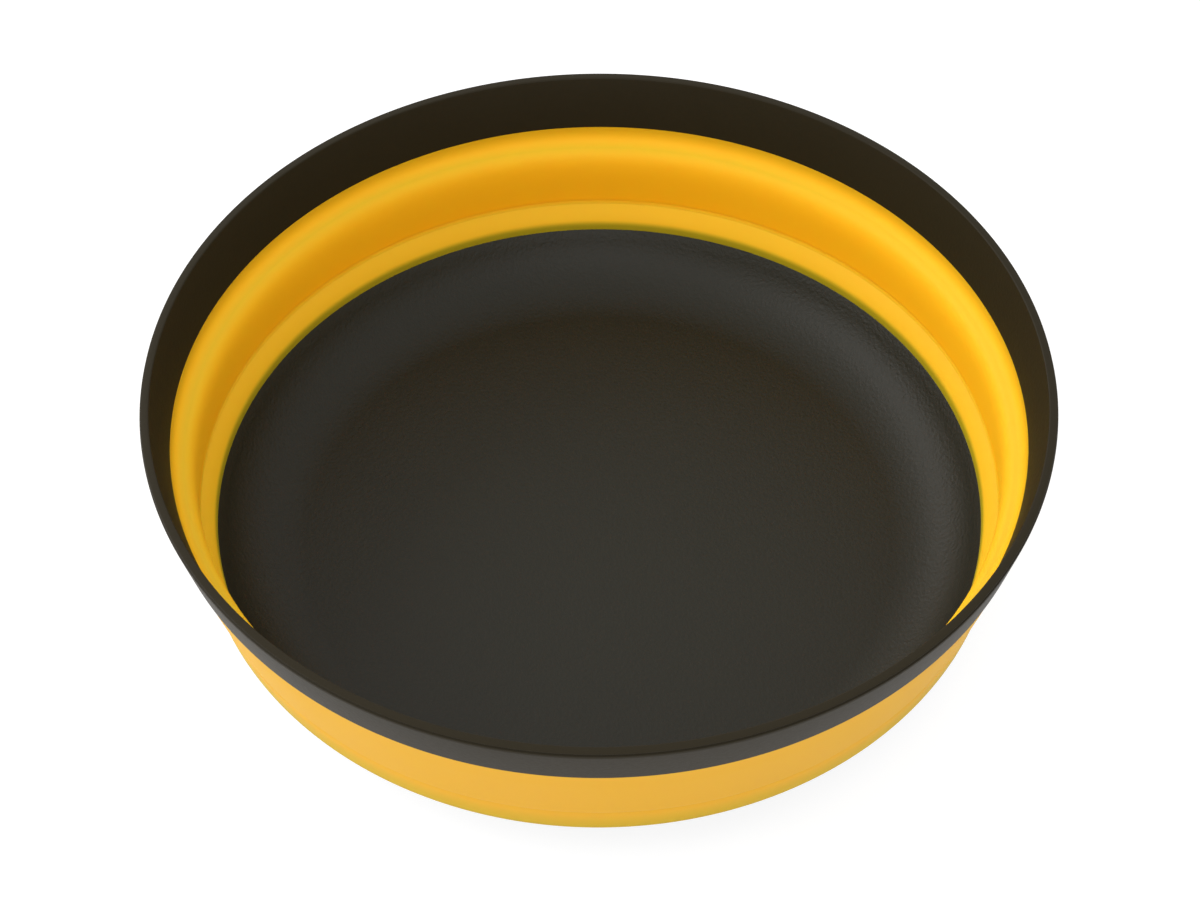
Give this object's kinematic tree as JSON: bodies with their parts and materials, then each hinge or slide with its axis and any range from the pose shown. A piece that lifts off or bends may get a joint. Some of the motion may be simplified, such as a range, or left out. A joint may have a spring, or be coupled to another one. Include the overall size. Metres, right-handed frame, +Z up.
{
  "type": "collapsible bowl",
  "caption": "Round camping bowl with a rigid rim and a rigid base dish, joined by a silicone wall that turns inside out so the bowl folds flat.",
  "frame": {"origin": "centre of the bowl's foot ring, on the surface that the open bowl stands on", "axes": "+Z up along the bowl's axis; the bowl is round, so X and Y are free"},
  "size_m": [0.18, 0.18, 0.05],
  "materials": {
    "dark_plastic": "fine-grained satin, warm charcoal",
    "yellow_silicone": "satin silicone, warm yellow"
  },
  "bodies": {
    "base": {"base_dish": "dark_plastic", "lower_wall": "yellow_silicone", "folding_wall": "yellow_silicone"},
    "rim": {"rim_ring": "dark_plastic", "upper_wall": "yellow_silicone"}
  },
  "joints": [
    {"name": "rim_slide", "type": "slide", "parent": "base", "child": "rim", "axis": [0, 0, 1], "range_m": [-0.0292, 0], "deforming": ["folding_wall"]}
  ]
}
